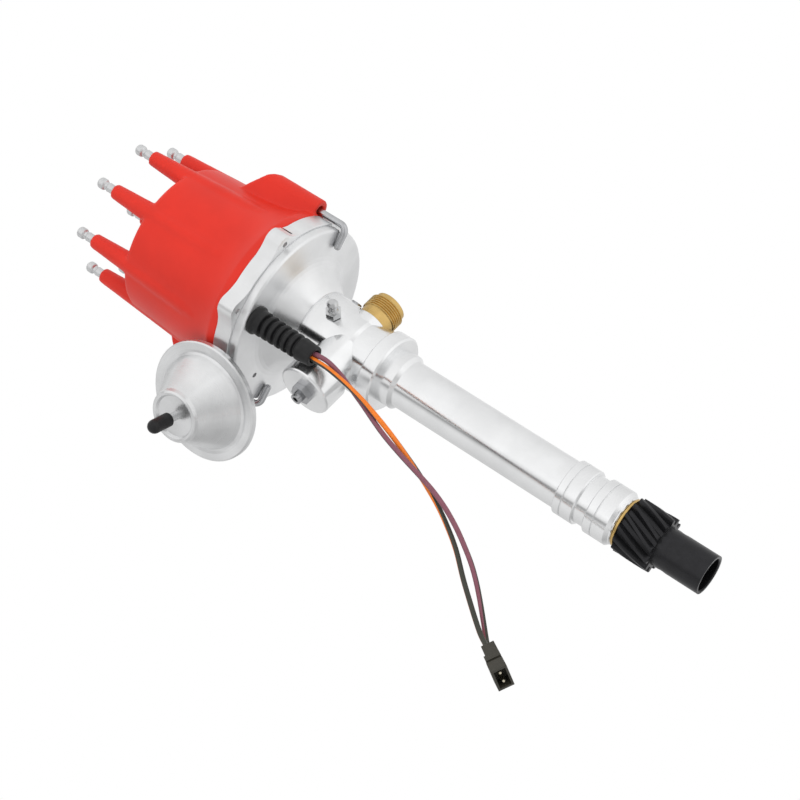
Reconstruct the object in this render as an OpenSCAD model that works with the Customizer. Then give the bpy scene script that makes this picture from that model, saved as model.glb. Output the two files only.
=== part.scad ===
// Ignition distributor with a mechanical tachometer drive and a vacuum advance.
// Millimetres. Z runs along the shaft with the cap on top.
// The origin is on the shaft axis, on the seating face of the collar.

/* [Shank and collar] */
// Diameter of the pilot bands on the shank
band_d = 32.1; // [31.9:0.1:32.5]
// Diameter of the shank between the bands
shank_d = 28.5; // [27.5:0.1:29.5]
// Depth of the lower end of the shank below the collar seat
shank_l = 155.8; // [150:0.1:162]
// Diameter of the collar that rests on the engine
collar_d = 45.8; // [44:0.1:48]
// Thickness of the collar
collar_t = 9.3; // [7:0.1:11]
// Diameter of the waist that the clamp fork goes round
waist_d = 41.6; // [40:0.1:42.4]

/* [Neck and bowl] */
// Height of the lower face of the neck
neck_z = 24; // [22:0.5:25]
// Diameter of the neck at its lower end
neck_d = 43.6; // [42:0.1:45]
// Height of the fine groove at the top of the neck
neck_top_z = 53.6; // [50:0.1:56]
// Outer diameter of the bowl
bowl_d = 108.4; // [107.6:0.1:109]
// Height of the underside of the bowl
bowl_z = 68.6; // [68:0.1:69]
// Height of the rim of the bowl
rim_z = 84; // [83:0.1:85]
// Reach of the rim lobes from the shaft axis
lobe_reach = 62; // [60:0.1:63]

/* [Cap] */
// Height of the flat top of the cap
cap_top_z = 161.5; // [155:0.5:168]
// Height of the ends of the spark towers
tower_z = 189; // [184:0.5:194]
// Radius of the circle that the spark towers stand on
tower_ring_r = 41.25; // [40.5:0.05:42]
// Number of spark towers
towers = 8; // [8:2:8]
// Turn of the first spark tower from the X axis
tower_turn = 5.6; // [0:0.1:20]

/* [Shaft and drive gear] */
// Diameter of the main shaft
shaft_d = 12.7; // [12.6:0.01:12.8]
// Outside diameter of the drive gear
gear_d = 31.9; // [31:0.1:32]
// Number of teeth on the drive gear
gear_teeth = 13; // [11:1:15]
// Diameter of the tail of the drive gear
tail_d = 22.8; // [22:0.1:23.5]
// Bore of the open end of the tail
tail_bore_d = 19; // [18:0.1:19.5]
// Depth of the end of the tail below the collar seat
tail_z = -208.2; // [-210:0.1:-206]

/* [Tachometer drive] */
// Height of the cross shaft
cross_z = 27.8; // [27:0.1:29]
// Turn of the cross shaft from the X axis
cross_turn = 29; // [20:1:35]
// Distance of the cross shaft from the main shaft axis
cross_off = 8; // [8:0.1:8]
// Outside diameter of the thread of the cable fitting
fitting_d = 22.2; // [21:0.1:23]
// Diameter of the round end cap of the cross boss
drum_d = 32.2; // [30:0.1:33]

/* [Vacuum advance] */
// Outside diameter of the rolled edge of the can
can_d = 71; // [66:0.5:71]
// Direction that the can faces, from the X axis
can_turn = -126; // [-128:1:-124]
// Distance of the link rod from the shaft axis
link_off = 39.8; // [39:0.1:40.5]
// Distance of the can edge along the link rod
can_reach = 60.6; // [60:0.1:62]

/* [Leads] */
// Diameter of each lead
lead_d = 2.8; // [2.4:0.1:3.0]

/* [Hidden] */

$fn = 96;
fine = 32;
fit = 0.02;
run = 0.05;

band_r = band_d / 2;
shank_r = shank_d / 2;
collar_r = collar_d / 2;
waist_r = waist_d / 2;
neck_r = neck_d / 2;
neck_top_r = neck_r + 1.5;
bowl_r = bowl_d / 2;
shaft_r = shaft_d / 2;
pilot_r = 16.4;
pilot_l = 8.2;

// Inside of the housing
bowl_in_r = 50;
floor_z = 72.6;
hub_r = 17;
hub_top_z = 77.2;
bushing_r = 9;
bushing_l = 28;
tunnel_r = 8.5;
bearing_r = 14.3;
bearing_w = 7.9;
bearing_z = 60;
inner_race_r = 8.6;
outer_race_r = 12;

// Rim band and its lobes
band_z = 74;
lobe_r = 6.6;
lobe_fillet = 26;
lobe_turns = [-60, -106, 74, 120];
edge_r = 1.6;
rim_r = bowl_r + 1.2;

// Latches
latch_turn = -13;
latch_ring_r = 57.3;
rod_r = 2;
rod_bend = 4.5;
hook_z = bowl_z - rod_r - 0.35;
hook_tip_r = 43.5;
ear_r = 6.6;
ear_z = 86;
ear_side = [
    [-17, ear_z], [8, ear_z], [8, 118], [6.4, 118.5], [5.6, 121.5], [3.6, 124.2], [0, 127],
    [-5, 130.8], [-9, 133.6], [-12, 135], [-17, 136.5],
];
latch_seat_z = 100;
latch_head_z = 118;

// Cap
skirt_r = 55.4;
cap_in_z = 146;
tower_tip_r = 4.5;
tower_slope = 5.05 / 89;
terminal_r = 3;
post_r = 3.3;
post_z = 197.4;
post_l = 2;
terminal_foot_z = 130;

// Advance mechanism
carrier_z = 92;
carrier_t = 2;
carrier_r = 34;
weight_pin_r = 24;
weight_z = carrier_z + carrier_t + 0.3;
weight_t = 5;
shaft_top_z = 99.6;
rotor_z = 102;
rotor_top_z = 137;

// Pickup
plate_z = 73.6;
plate_t = 2;
plate_r = 46;
reluctor_z = 77.8;
reluctor_t = 5;
reluctor_tip_r = 24;
pole_gap = 0.8;
pole_turn = -25;

// Drive gear
gear_top_z = -157.5;
teeth_top_z = -158;
teeth_low_z = -179.6;
gear_root_r = 12.7;
gear_helix = 22;
tail_bore_l = 13;

// Tachometer drive, along the cross shaft
boss_r = 13;
boss_end = 35;
drum_start = 26.5;
drum_end = 42.6;
seat_x = 14;
thread_x = 20.8;
thread_end_x = 29.4;
fitting_end_x = 32;
thread_pitch = 1.41;
worm_r = 5;
worm_teeth = 5;
worm_l = 16;
worm_helix = 59.04;
pinion_r = cross_off - worm_r;
pinion_l = 9;
tooth_slack = 0.2;
worm_tip = 0.55;
pinion_tip = 0.75;

// Vacuum can, along the link rod
can_z = 77;
can_r = can_d / 2;
bead_r = 29.2;
nose_r = 14.7;
nose_t = 26.8;
nipple_r = 2.4;
nipple_end = 42;

// Leads: both start inside the boot and end in the rear face of the connector
boot_x = -14.3;
boot_y = -42.8;
boot_end_z = 26;
connector_at = [-91.9, -45.5, -145.4];
orange_route = [
    [-15.8, -42.8, 62], [-15.8, -42.9, 27], [-15.6, -43.3, 16.9], [-16.6, -43.6, 6.9],
    [-18.1, -43.8, -3.1], [-20.2, -43.6, -13], [-23.4, -42.9, -24.5], [-26.9, -42.2, -35.4],
    [-30.8, -41.9, -46.2], [-34.9, -41.8, -57.1], [-39.5, -41.9, -67.9], [-44.8, -42.3, -79.1],
    [-51.2, -42.7, -90], [-58.4, -43, -100.4], [-68.3, -43.2, -111.7], [-75.8, -43, -120.8],
    [-82.3, -42.6, -128.9], [-87, -42.8, -135.4], [-89.5, -45.3, -141.1], [-91.3, -49.4, -146.5],
];
violet_route = [
    [-12.8, -42.8, 62], [-12.8, -42.6, 27], [-12.5, -41.6, 18.9], [-14.6, -40, 9.4],
    [-17.9, -39.6, 0], [-21.6, -40.2, -10.6], [-25.6, -41.6, -21.6], [-28.2, -43, -29.3],
    [-30.3, -44.2, -36.5], [-32.2, -45, -43.9], [-34, -45.5, -51.3], [-35.7, -45.8, -58.7],
    [-37.5, -45.9, -66.3], [-39.9, -45.8, -74.9], [-43.8, -45.4, -85], [-49, -44.8, -95.1],
    [-54.5, -44, -103.7], [-60.2, -43, -111.6], [-66.3, -41.9, -118.4], [-73.2, -40.4, -124.9],
    [-81, -39.2, -131.9], [-88, -38.9, -138.4], [-92.3, -41, -143.6], [-94, -45.1, -148.9],
];

// Colours
alloy = "#d8dadc";
steel = "#9aa0a6";
brass = "#c8a24a";
red = "#d8382c";
black = "#222426";
bronze = "#a9793f";
zinc = "#c9ccce";

// A closed tube through a list of points, with rings square to its path
function unit(v) = v / norm(v);
function tangent(p, i) = unit(p[min(i + 1, len(p) - 1)] - p[max(i - 1, 0)]);
module swept_tube(path, r, sides, across = [0, 1, 0]) {
    n = len(path);
    rings = [
        for (i = [0:n - 1])
            let (t = tangent(path, i), u = unit(cross(t, across)), v = cross(t, u))
                for (k = [0:sides - 1])
                    path[i] + r * (u * cos(360 * k / sides) + v * sin(360 * k / sides)),
    ];
    walls = [
        for (i = [0:n - 2], k = [0:sides - 1])
            [
                i * sides + k,
                (i + 1) * sides + k,
                (i + 1) * sides + (k + 1) % sides,
                i * sides + (k + 1) % sides,
            ],
    ];
    start = [for (k = [0:sides - 1]) k];
    finish = [for (k = [sides - 1:-1:0]) (n - 1) * sides + k];
    polyhedron(points = rings, faces = concat(walls, [start, finish]), convexity = 8);
}

// A smooth path through the route points, cut into even steps
function bend(a, b, c, d, s) = 0.5 * (2 * b + (c - a) * s + (2 * a - 5 * b + 4 * c - d) * s * s
    + (3 * b - a - 3 * c + d) * s * s * s);
function smooth(p, steps) = [
    for (i = [0:len(p) - 2], k = [0:steps - 1])
        bend(p[max(i - 1, 0)], p[i], p[i + 1], p[min(i + 2, len(p) - 1)], k / steps),
    p[len(p) - 1],
];

// A compression spring along Z
module coil_spring(r, wire_r, z0, z1, turns) {
    steps = turns * 12;
    path = [
        for (i = [0:steps])
            [r * cos(30 * i), r * sin(30 * i), z0 + wire_r + (z1 - z0 - 2 * wire_r) * i / steps],
    ];
    swept_tube(path, wire_r, 6, [0, 0, 1]);
}

module pipe(r_out, r_in, h) {
    difference() {
        cylinder(r = r_out, h = h);
        translate([0, 0, -1]) cylinder(r = r_in, h = h + 2);
    }
}

// Places children on the circle of the latches, in line with the first or second one
module at_latch(side) {
    rotate([0, 0, latch_turn + 180 * side]) translate([latch_ring_r, 0, 0]) children();
}

// Local X runs along the cross shaft towards the cable fitting
module on_cross_shaft() {
    translate([0, 0, cross_z]) rotate([0, 0, cross_turn]) translate([0, -cross_off, 0])
        children();
}

// Local Z runs out of the can along the link rod, from the plane of the can edge
module on_can() {
    rotate([0, 0, can_turn]) translate([can_reach, -link_off, can_z]) rotate([0, 90, 0])
        children();
}

// Local Z runs out of the mating face of the connector
module on_connector() {
    translate(connector_at) rotate([0, 0, -113]) rotate([0, 140, 0]) rotate([0, 0, 132])
        children();
}

module place_towers() {
    for (i = [0:towers - 1])
        rotate([0, 0, tower_turn + 360 * i / towers]) translate([tower_ring_r, 0, 0]) children();
}

// Housing

// Outline of the housing from the lower end of the shank to the rim
function housing_outline() = concat(
    [
        [0, -shank_l], [shank_r - 0.7, -shank_l], [shank_r, -shank_l + 0.7],
        [shank_r, -shank_l + 1.3], [band_r, -152.4], [band_r, -144.7], [band_r - 0.5, -144.6],
        [band_r - 0.5, -144.1], [band_r, -144], [band_r, -139.5], [band_r - 0.5, -139],
        [shank_r, -139], [shank_r, -132], [band_r - 0.5, -132], [band_r, -131.5],
        [band_r, -124.7], [band_r - 0.5, -124.6], [band_r - 0.5, -124.1], [band_r, -124],
        [band_r, -120], [band_r - 0.5, -119.5], [shank_r, -119.5], [shank_r, -pilot_l - 2],
        [pilot_r, -pilot_l], [pilot_r, 0],
        [collar_r - 1, 0], [collar_r, 1], [collar_r, collar_t - 0.5],
        [collar_r - 0.5, collar_t], [waist_r, collar_t], [waist_r, neck_z - 2.2],
        [neck_r - 0.3, neck_z - 0.3], [neck_r, neck_z], [neck_top_r - 0.1, neck_top_z - 0.4],
        [neck_top_r - 0.5, neck_top_z - 0.3], [neck_top_r - 0.5, neck_top_z + 0.3],
        [neck_top_r, neck_top_z + 0.4],
    ],
    [
        [neck_top_r + 2, bowl_z - 12], [neck_top_r + 4.3, bowl_z - 9],
        [neck_top_r + 6.7, bowl_z - 6], [neck_top_r + 8.7, bowl_z - 3.8],
        [neck_top_r + 10.5, bowl_z - 2.2], [neck_top_r + 12.5, bowl_z - 1.1],
        [neck_top_r + 15, bowl_z - 0.5], [neck_top_r + 18, bowl_z - 0.3],
    ],
    [[bowl_r - edge_r, bowl_z]],
    [for (a = [15:15:90]) [bowl_r - edge_r + edge_r * sin(a), bowl_z + edge_r * (1 - cos(a))]],
    [[bowl_r, band_z - 0.5], [bowl_r - 0.4, band_z - 0.3], [bowl_r - 0.4, band_z]],
    [[rim_r - 0.3, band_z], [rim_r, band_z + 0.3], [rim_r, rim_z], [0, rim_z]]
);

// Plan of one lobe: a round nose that runs into the wall through hollow fillets
module lobe_plan() {
    c = lobe_reach - lobe_r;
    far = rim_r + lobe_fillet - 0.2;
    near = lobe_r + lobe_fillet;
    x = (far * far - near * near + c * c) / (2 * c);
    y = sqrt(far * far - x * x);
    difference() {
        union() {
            translate([c, 0]) circle(r = lobe_r);
            polygon([
                [bowl_in_r - 4, -y * rim_r / far], [x * rim_r / far, -y * rim_r / far],
                [x, -y], [c, 0], [x, y], [x * rim_r / far, y * rim_r / far],
                [bowl_in_r - 4, y * rim_r / far],
            ]);
        }
        for (s = [-1, 1]) translate([x, s * y]) circle(r = lobe_fillet);
        circle(r = bowl_in_r + 2);
    }
}

module housing() color(alloy) {
    difference() {
        union() {
            rotate_extrude() polygon(housing_outline());
            for (a = lobe_turns) rotate([0, 0, a]) translate([0, 0, band_z])
                linear_extrude(height = rim_z - band_z - 0.05) lobe_plan();
            on_cross_shaft() {
                rotate([0, -90, 0]) cylinder(r = boss_r, h = boss_end);
                rotate([0, 90, 0]) cylinder(r = 12.2, h = seat_x);
            }
        }
        // Bowl, with the hub that carries the pickup plate
        translate([0, 0, floor_z]) difference() {
            cylinder(r = bowl_in_r, h = 20);
            translate([0, 0, -1]) cylinder(r = hub_r, h = hub_top_z - floor_z + 1);
        }
        // Shaft tunnel with the seats of the bushing and the bearing
        translate([0, 0, -shank_l - 1]) cylinder(r = bushing_r + fit, h = bushing_l + 1);
        translate([0, 0, -shank_l]) cylinder(r = tunnel_r, h = 250);
        translate([0, 0, bearing_z]) cylinder(r = bearing_r + fit, h = 30);
        // Cross bore and its seat for the cable fitting
        on_cross_shaft() {
            rotate([0, 90, 0]) translate([0, 0, -boss_end - 1])
                cylinder(r = 4.6, h = boss_end + 7);
            rotate([0, 90, 0]) cylinder(r = 8.5 + fit, h = 30);
            rotate([0, 90, 0]) translate([0, 0, seat_x]) cylinder(r = 12.6, h = 20);
        }
        // Window for the link of the vacuum advance
        rotate([0, 0, can_turn]) translate([12, -link_off - 8, floor_z - 0.05])
            cube([58, 16, 8]);
        // Clearance for the latch rods, a locating slot and the lead exit
        for (s = [0, 1]) at_latch(s) translate([0, 0, bowl_z - 1]) cylinder(r = 3.6, h = 20);
        rotate([0, 0, -51.5]) translate([bowl_in_r - 1, -0.8, 76.5]) cube([14, 1.6, 10]);
        translate([boot_x, boot_y, bowl_z - 1]) cylinder(r = 4.5, h = 10);
        // Holes under the rim lobes and in the floor
        on_can() at_bracket_screws() cylinder(r = 1.35, h = 7, $fn = fine);
        for (a = lobe_turns) rotate([0, 0, a]) translate([57, 0, band_z - 1])
            cylinder(r = 1.7, h = 14, $fn = fine);
        rotate([0, 0, -169]) translate([42.3, 0, bowl_z - 1]) cylinder(r = 1.6, h = 9, $fn = fine);
        // Threads of the grease fitting and of the two plugs
        rotate([0, 0, -62]) translate([0, 0, 41]) rotate([0, 90, 0]) cylinder(r = 3.02, h = 40);
        for (a = [8, -124]) rotate([0, 0, a]) translate([0, 0, 43.8]) rotate([0, 90, 0])
            cylinder(r = 3.32, h = 40);
    }
}

// Bearings of the main shaft
module lower_bushing() color(bronze)
    translate([0, 0, -shank_l]) pipe(bushing_r, shaft_r + run, bushing_l);

module race_groove() {
    mid_r = (inner_race_r + outer_race_r) / 2;
    translate([0, 0, bearing_w / 2]) rotate_extrude() translate([mid_r, 0]) circle(r = 2.45);
}

module bearing_outer_race() color(steel)
    translate([0, 0, bearing_z]) difference() {
        pipe(bearing_r, outer_race_r, bearing_w);
        race_groove();
    }

module bearing_inner_race() color(steel)
    translate([0, 0, bearing_z]) difference() {
        pipe(inner_race_r, shaft_r + fit, bearing_w);
        race_groove();
    }

module bearing_balls() color(steel)
    translate([0, 0, bearing_z + bearing_w / 2]) for (i = [0:7])
        rotate([0, 0, 45 * i]) translate([(inner_race_r + outer_race_r) / 2, 0, 0])
            sphere(r = 2.38, $fn = fine);

module bearing_retainer() color(steel)
    translate([0, 0, bearing_z + bearing_w + 0.02]) pipe(bearing_r, 11, 1.2);

// Cap

// Radius of the cap between the towers: a slight taper with a flared skirt
function cap_r(z) = min(skirt_r, 46.3 + (cap_top_z - z) / 20 + 6.5 * exp((87.5 - z) / 10));
function cap_outline() = concat(
    [[0, rim_z], [skirt_r, rim_z]],
    [for (z = [89:2.5:109]) [cap_r(z), z]],
    [for (z = [114:8:154]) [cap_r(z), z]],
    [for (a = [0:18:90]) [43.4 + 3 * cos(a), cap_top_z - 3 + 3 * sin(a)]],
    [[0, cap_top_z]]
);

function cap_hollow() = [
    [0, rim_z - 5], [46.4, rim_z - 5], [46.4, 92], [45.8, 104], [44.8, 120], [43.9, 138],
    [42.4, cap_in_z - 1], [41, cap_in_z], [0, cap_in_z],
];

module tower_cone(low_z) {
    cylinder_h = tower_z - low_z;
    translate([0, 0, low_z])
        cylinder(r1 = tower_tip_r + tower_slope * cylinder_h, r2 = tower_tip_r, h = cylinder_h);
}

// Ear of a latch: a round post with a web to the cap and a sloping top
module ear() {
    intersection() {
        translate([0, 0, ear_z]) linear_extrude(height = 60) {
            circle(r = ear_r);
            polygon([[-12, -9.4], [0, -ear_r], [0, ear_r], [-12, 9.4]]);
        }
        translate([0, 12, 0]) rotate([90, 0, 0]) linear_extrude(height = 24) polygon(ear_side);
    }
}

module distributor_cap() color(red) {
    difference() {
        union() {
            rotate_extrude() polygon(cap_outline());
            translate([0, 0, rim_z - 3]) cylinder(r = bowl_in_r - 0.1, h = 4);
            place_towers() tower_cone(100);
            tower_cone(cap_top_z - 4);
            for (s = [0, 1]) at_latch(s) ear();
        }
        rotate_extrude() polygon(cap_hollow());
        place_towers() translate([0, 0, terminal_foot_z]) cylinder(r = terminal_r + fit, h = 70);
        translate([0, 0, cap_in_z - 1]) cylinder(r = terminal_r + fit, h = 50);
        translate([0, 0, cap_in_z - 1]) cylinder(r = 3.6, h = 9);
        for (s = [0, 1]) at_latch(s) {
            translate([0, 0, rim_z - 1]) cylinder(r = rod_r + 0.15, h = 50);
            translate([0, 0, latch_seat_z]) cylinder(r = 4.8, h = 40);
            translate([0, 0, rim_z - 1]) cylinder(r = 3.2, h = latch_seat_z - rim_z - 2);
            translate([0, 0, rim_z - 1]) pipe(5.5, 4.9, 6);
        }
    }
}

// Plug terminal with a ball end, a groove and a plain stem
module terminal(low_z) {
    neck = 2.3;
    rotate_extrude($fn = 48) polygon(concat(
        [
            [0, low_z], [terminal_r, low_z], [terminal_r, tower_z + 0.8],
            [terminal_r - 0.3, tower_z + 1.1], [terminal_r - 0.3, tower_z + 4.4],
            [neck + 0.5, tower_z + 4.8], [neck, tower_z + 5.4], [neck, tower_z + 6.4],
        ],
        [for (a = [-45:15:0]) [post_r * cos(a), post_z + 2 * sin(a)]],
        [for (a = [0:15:90]) [post_r * cos(a), post_z + post_l + 2.3 * sin(a)]]
    ));
}

module tower_terminals() color(zinc) place_towers() terminal(terminal_foot_z);
module coil_terminal() color(zinc) terminal(cap_in_z + 9);

module carbon_button() color(black) translate([0, 0, rotor_top_z + 2.4]) {
    cylinder(r = 3.4, h = cap_in_z + 3 - rotor_top_z - 2.4);
}

module button_spring() color(steel)
    coil_spring(2.4, 0.4, cap_in_z + 3.2, cap_in_z + 8.8, 4);

// Latches
module latch_springs() color(steel) for (s = [0, 1]) at_latch(s)
    coil_spring(3.6, 0.55, latch_seat_z + 0.1, latch_head_z - 1.3, 8);

module latch_washer(side) color(steel) at_latch(side)
    translate([0, 0, latch_head_z - 1.2]) pipe(4.5, rod_r + 0.1, 1);

module latch_washer_a() latch_washer(0);
module latch_washer_b() latch_washer(1);

// Round rod with a slotted head on top and a hook below
module latch_rod(side) color(steel) at_latch(side) {
    arm = latch_ring_r - hook_tip_r - rod_bend;
    translate([0, 0, hook_z + rod_bend])
        cylinder(r = rod_r, h = latch_head_z - hook_z - rod_bend, $fn = 48);
    translate([-rod_bend, 0, hook_z + rod_bend]) rotate([90, 0, 0]) rotate([0, 0, -90])
        rotate_extrude(angle = 90, $fn = 64) translate([rod_bend, 0]) circle(r = rod_r, $fn = 48);
    translate([-rod_bend, 0, hook_z]) rotate([0, -90, 0]) {
        cylinder(r = rod_r, h = arm - 1, $fn = 48);
        translate([0, 0, arm - 1]) cylinder(r1 = rod_r, r2 = rod_r - 0.8, h = 1, $fn = 48);
    }
    difference() {
        translate([0, 0, latch_head_z]) cylinder(r = 4.4, h = 3, $fn = 48);
        translate([-5, -0.6, latch_head_z + 1.5]) cube([10, 1.2, 3]);
    }
}

module latch_rod_a() latch_rod(0);
module latch_rod_b() latch_rod(1);

// Vacuum advance
module vacuum_can_front() color(zinc) on_can() {
    rotate_extrude() polygon([
        [can_r, -1.6], [can_r, 1.2], [can_r - 0.8, 1.9], [bead_r + 1.6, 1.9], [bead_r, 1.5],
        [bead_r - 1.3, 2.2], [bead_r - 2.4, 4.4], [nose_r + 1.1, nose_t - 3],
        [nose_r + 0.5, nose_t - 0.8], [nose_r - 0.6, nose_t], [nose_r - 1.8, nose_t - 0.4],
        [nose_r - 2.8, nose_t - 1.8], [nipple_r, nose_t - 1.9], [nipple_r, nipple_end],
        [1.4, nipple_end], [1.4, nose_t - 2.9], [nose_r - 3.3, nose_t - 2.9],
        [nose_r - 0.2, nose_t - 3.2], [bead_r - 3.3, 3.7], [bead_r - 2, 1.2],
        [bead_r, 0.5], [can_r - 0.9, 0.5], [can_r - 0.9, -1.6],
    ]);
}

module vacuum_diaphragm() color(black) on_can() translate([0, 0, -0.4])
    rotate_extrude() polygon([
        [0, 0], [can_r - 1, 0], [can_r - 1, 0.8], [0, 0.8],
    ]);

module vacuum_can_back() color(zinc) on_can() {
    rotate_extrude() polygon([
        [can_r - 1, -0.5], [can_r - 1, -1.5], [28.6, -1.5], [26.5, -2.6], [23, -5.6], [19, -7.4],
        [9, -7.6], [9, -6.6], [18.6, -6.4], [22.2, -4.8], [25.6, -1.8], [28, -0.5],
    ]);
}

module vacuum_spring() color(steel) on_can() coil_spring(8, 0.8, 1.4, nose_t - 3.3, 6);

// Link rod with its seat plate in the can and its eye over the plate pin
module vacuum_link() color(steel) on_can() {
    translate([0, 0, -1.8]) cylinder(r = 10, h = 1.2);
    translate([-1, -3, -can_reach - 5]) difference() {
        cube([2, 6, can_reach + 3.4]);
        translate([-1, 3, 5]) rotate([0, 90, 0]) cylinder(r = 2.1, h = 5, $fn = fine);
    }
}

// Bracket from the back of the can, through the window and onto the floor of the bowl
module vacuum_bracket() color(zinc) on_can() {
    difference() {
        union() {
            translate([2.6, -7.8, -46]) cube([1.78, 15.6, 37.5]);
            translate([-9, -11, -9.4]) cube([18, 22, 1.7]);
        }
        translate([-2.4, -4, -10]) cube([4.4, 8, 4]);
        at_bracket_screws() cylinder(r = 1.35, h = 6, $fn = fine);
    }
}

module at_bracket_screws() {
    for (s = [-1, 1]) translate([0, 5.3 * s, -38]) rotate([0, 90, 0]) children();
}

module bracket_screws() color(steel) on_can() at_bracket_screws() {
    translate([0, 0, 1.1]) cylinder(r = 2.2, h = 1.48, $fn = fine);
    translate([0, 0, 2.5]) cylinder(r = 1.33, h = 4.4, $fn = fine);
}

module nipple_cap() color(black) on_can() {
    r = 4;
    length = 15.4;
    z0 = 30;
    rotate_extrude($fn = 48) polygon(concat(
        [[nipple_r + run, z0], [r - 0.3, z0], [r, z0 + 0.4]],
        [for (a = [0:15:90]) [r * cos(a), z0 + length - r + r * sin(a)]],
        [[0, nipple_end + 0.2], [nipple_r + run, nipple_end + 0.2]]
    ));
}

// Tachometer drive

// Half of a tooth's angle at radius r, for a pitch radius rp and a helix angle b there
function tooth_half(r, rp, b) =
    let (
        m = 2 * worm_r * cos(worm_helix) / worm_teeth,
        w = PI * m / 4 - tooth_slack + (rp - r) * tan(20)
    )
    w / cos(atan(r * tan(b) / rp)) / r * 180 / PI;

// Screw gear along Z with a tooth or a gap facing X at its middle
module screw_gear(rp, b, r_tip, r_root, length, turn) {
    lead = 2 * PI * rp / tan(b);
    radii = [r_root, rp, r_tip];
    translate([0, 0, -length / 2]) rotate([0, 0, turn - 180 * length / lead])
        linear_extrude(
            height = length, twist = -360 * length / lead, slices = round(40 * length / lead) + 4
        )
            polygon([
                for (i = [0:worm_teeth - 1]) each [
                    for (k = [0:5])
                        let (
                            r = radii[min(k, 5 - k)],
                            a = 360 * i / worm_teeth
                                + (k < 3 ? -1 : 1) * tooth_half(r, rp, b)
                        )
                            [r * cos(a), r * sin(a)],
                ],
            ]);
}

module fitting_thread() {
    crests = floor((thread_end_x - thread_x) / thread_pitch);
    for (i = [0:crests - 1]) translate([0, 0, thread_x + thread_pitch * i])
        rotate_extrude() polygon([
            [8, 0], [fitting_d / 2 - 0.8, 0], [fitting_d / 2, 0.45], [fitting_d / 2, 0.75],
            [fitting_d / 2 - 0.8, 1.2], [fitting_d / 2 - 0.8, thread_pitch], [8, thread_pitch],
        ]);
}

module tach_fitting() color(brass) on_cross_shaft() rotate([0, 90, 0]) {
    difference() {
        union() {
            translate([0, 0, 7]) cylinder(r = 8.5, h = 8);
            translate([0, 0, seat_x]) cylinder(r = 10.3, h = thread_x - seat_x);
            fitting_thread();
            translate([0, 0, thread_x]) cylinder(r = 9.6, h = fitting_end_x - thread_x);
        }
        translate([0, 0, 6]) cylinder(r = 3.7, h = 40);
        translate([0, 0, 21]) cylinder(r = 7.2, h = 40);
        translate([0, 0, fitting_end_x - 1]) cylinder(r1 = 7.2, r2 = 8.2, h = 1.01);
    }
}

module tach_bushing() color(bronze) on_cross_shaft() rotate([0, 90, 0])
    translate([0, 0, -24]) pipe(4.58, 2.4 + run, 14);

module tach_gear() color(steel) on_cross_shaft() rotate([0, 90, 0]) {
    translate([0, 0, -31.6]) cylinder(r = 2.4, h = 38, $fn = 48);
    screw_gear(pinion_r, 90 - worm_helix, pinion_r + pinion_tip, pinion_r - 0.9, pinion_l, 126);
    difference() {
        translate([0, 0, 6.2]) cylinder(r = 3.65, h = 13.8, $fn = 48);
        translate([-1.4, -1.4, 14]) cube([2.8, 2.8, 9]);
    }
}

module tach_end_cap() color(alloy) on_cross_shaft() rotate([0, -90, 0]) {
    edge = 1.2;
    difference() {
        rotate_extrude() polygon([
            [0, drum_start], [drum_d / 2 - 0.6, drum_start], [drum_d / 2, drum_start + 0.6],
            [drum_d / 2, drum_end - edge], [drum_d / 2 - 0.35, drum_end - 0.35],
            [drum_d / 2 - edge, drum_end], [0, drum_end],
        ]);
        translate([0, 0, drum_start - 1]) cylinder(r = boss_r + run, h = boss_end - drum_start + 1.2);
        translate([0, 0, 30]) cylinder(r = 3.19, h = 20);
    }
}

module thrust_screw() color(steel) on_cross_shaft() rotate([0, -90, 0]) difference() {
    translate([0, 0, 31.7]) cylinder(r = 3.17, h = 18, $fn = 48);
    translate([0, 0, 45.7]) rotate([0, 0, 15]) cylinder(r = 1.85, h = 5, $fn = 6);
}

module jam_nut() color(steel) on_cross_shaft() rotate([0, -90, 0]) difference() {
    translate([0, 0, drum_end + 0.02]) rotate([0, 0, 15]) cylinder(r = 6.4, h = 3.6, $fn = 6);
    translate([0, 0, drum_end - 1]) cylinder(r = 3.19, h = 6);
}

module grease_fitting() color(zinc)
    rotate([0, 0, -62]) translate([0, 0, 41]) rotate([0, 90, 0]) {
        translate([0, 0, 16]) cylinder(r = 3, h = 7, $fn = 48);
        translate([0, 0, 22.95]) rotate([0, 0, 10]) cylinder(r = 4.7, h = 3.65, $fn = 6);
        rotate_extrude($fn = 48) polygon([
            [0, 26.5], [3.1, 26.5], [2.5, 28.2], [2.3, 30.4], [3.2, 31.8], [3.2, 32.8],
            [2, 34.4], [0, 34.6],
        ]);
    }

module socket_plugs() color(steel) for (a = [8, -124])
    rotate([0, 0, a]) translate([0, 0, 43.8]) rotate([0, 90, 0]) difference() {
        translate([0, 0, 14]) cylinder(r = 3.3, h = 9.6, $fn = 48);
        translate([0, 0, 20]) cylinder(r = 1.85, h = 5, $fn = 6);
    }

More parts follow.
